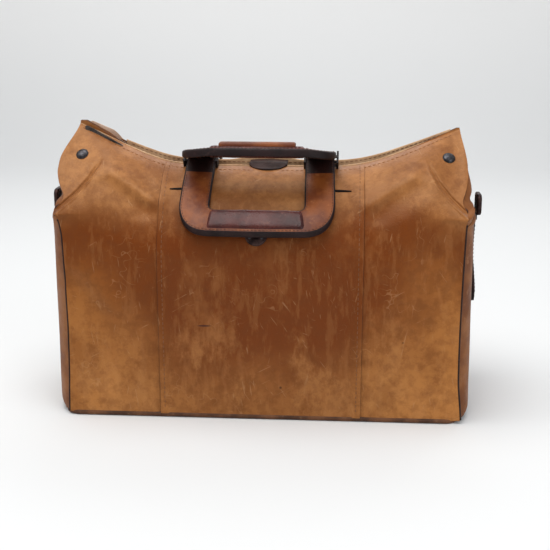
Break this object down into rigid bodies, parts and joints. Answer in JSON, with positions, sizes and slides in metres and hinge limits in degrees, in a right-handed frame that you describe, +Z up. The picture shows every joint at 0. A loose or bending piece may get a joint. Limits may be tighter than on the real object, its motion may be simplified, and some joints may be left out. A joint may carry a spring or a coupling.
{
  "type": "doctor bag",
  "caption": "Leather doctor bag with a gabled mouth that opens wide, a pair of swinging carry handles, a closing strap and buckled end straps.",
  "frame": {"origin": "centre of the base, on the surface that the bag stands on", "axes": "+Z up, the front with the lock towards -Y, +X along the length to the right as seen from the front"},
  "size_m": [0.4444, 0.1894, 0.291],
  "materials": {
    "leather_tan": "satin",
    "leather_brown": "satin",
    "leather_dark": "gloss",
    "lining_cream": "matte",
    "base_card": "matte",
    "steel_dark": "satin"
  },
  "bodies": {
    "carcass": {"base_welt": "leather_brown", "base_panel": "leather_brown", "base_board": "base_card", "front_left_wall": "leather_tan", "front_centre_wall": "leather_tan", "front_right_wall": "leather_tan", "back_left_wall": "leather_tan", "back_centre_wall": "leather_tan", "back_right_wall": "leather_tan", "corner_welts": "leather_brown", "lining": "lining_cream", "left_gusset": "leather_brown", "right_gusset": "leather_brown", "left_tuck": "leather_brown", "right_tuck": "leather_brown", "left_end_tab": "leather_dark", "right_end_tab": "leather_dark", "left_buckle": "steel_dark", "right_buckle": "steel_dark", "left_buckle_prong": "steel_dark", "right_buckle_prong": "steel_dark", "left_buckle_loop": "leather_dark", "right_buckle_loop": "leather_dark", "lock_plate": "steel_dark", "lock_rivets": "steel_dark"},
    "front_jaw": {"front_left_top": "leather_tan", "front_centre_top": "leather_tan", "front_right_top": "leather_tan", "front_facing": "lining_cream", "front_frame_bar": "steel_dark", "front_wing_studs": "steel_dark", "front_handle_brackets": "steel_dark", "front_handle_pins": "steel_dark"},
    "back_jaw": {"back_left_top": "leather_tan", "back_centre_top": "leather_tan", "back_right_top": "leather_tan", "back_facing": "lining_cream", "back_frame_bar": "steel_dark", "back_wing_studs": "steel_dark", "back_handle_brackets": "steel_dark", "back_handle_pins": "steel_dark", "strap_anchor": "leather_dark", "anchor_rivets": "steel_dark"},
    "front_handle": {"front_handle_loop": "leather_dark", "front_grip": "leather_dark"},
    "rear_handle": {"rear_handle_loop": "leather_dark", "rear_grip": "leather_dark"},
    "closing_strap": {"closing_strap": "leather_dark"},
    "left_end_strap": {"left_end_strap": "leather_dark"},
    "right_end_strap": {"right_end_strap": "leather_dark"}
  },
  "joints": [
    {"name": "front_jaw_hinge", "type": "hinge", "parent": "carcass", "child": "front_jaw", "pos_m": [0, -0.086, 0.2], "axis": [1, 0, 0], "range_deg": [0, 38], "deforming": ["left_tuck", "right_tuck"]},
    {"name": "back_jaw_hinge", "type": "hinge", "parent": "carcass", "child": "back_jaw", "pos_m": [0, 0.086, 0.2], "axis": [1, 0, 0], "range_deg": [-38, 0]},
    {"name": "front_handle_lift", "type": "hinge", "parent": "front_jaw", "child": "front_handle", "pos_m": [-0.004, -0.019, 0.254], "axis": [-1, 0, 0], "range_deg": [0, 110]},
    {"name": "rear_handle_lift", "type": "hinge", "parent": "back_jaw", "child": "rear_handle", "pos_m": [-0.004, 0.019, 0.254], "axis": [-1, 0, 0], "range_deg": [0, 80]},
    {"name": "closing_strap_hinge", "type": "hinge", "parent": "back_jaw", "child": "closing_strap", "pos_m": [0.003, 0.02, 0.249], "axis": [-1, 0, 0], "range_deg": [0, 110]},
    {"name": "left_end_strap_swing", "type": "hinge", "parent": "carcass", "child": "left_end_strap", "pos_m": [-0.2154, 0, 0.192], "axis": [0, 1, 0], "range_deg": [0, 70]},
    {"name": "right_end_strap_swing", "type": "hinge", "parent": "carcass", "child": "right_end_strap", "pos_m": [0.2154, 0, 0.192], "axis": [0, -1, 0], "range_deg": [0, 70]}
  ],
  "couplings": [
    {"joint": "back_jaw_hinge", "follows": "front_jaw_hinge", "ratio": -1},
    {"joint": "rear_handle_lift", "follows": "front_handle_lift", "ratio": 0.727}
  ]
}
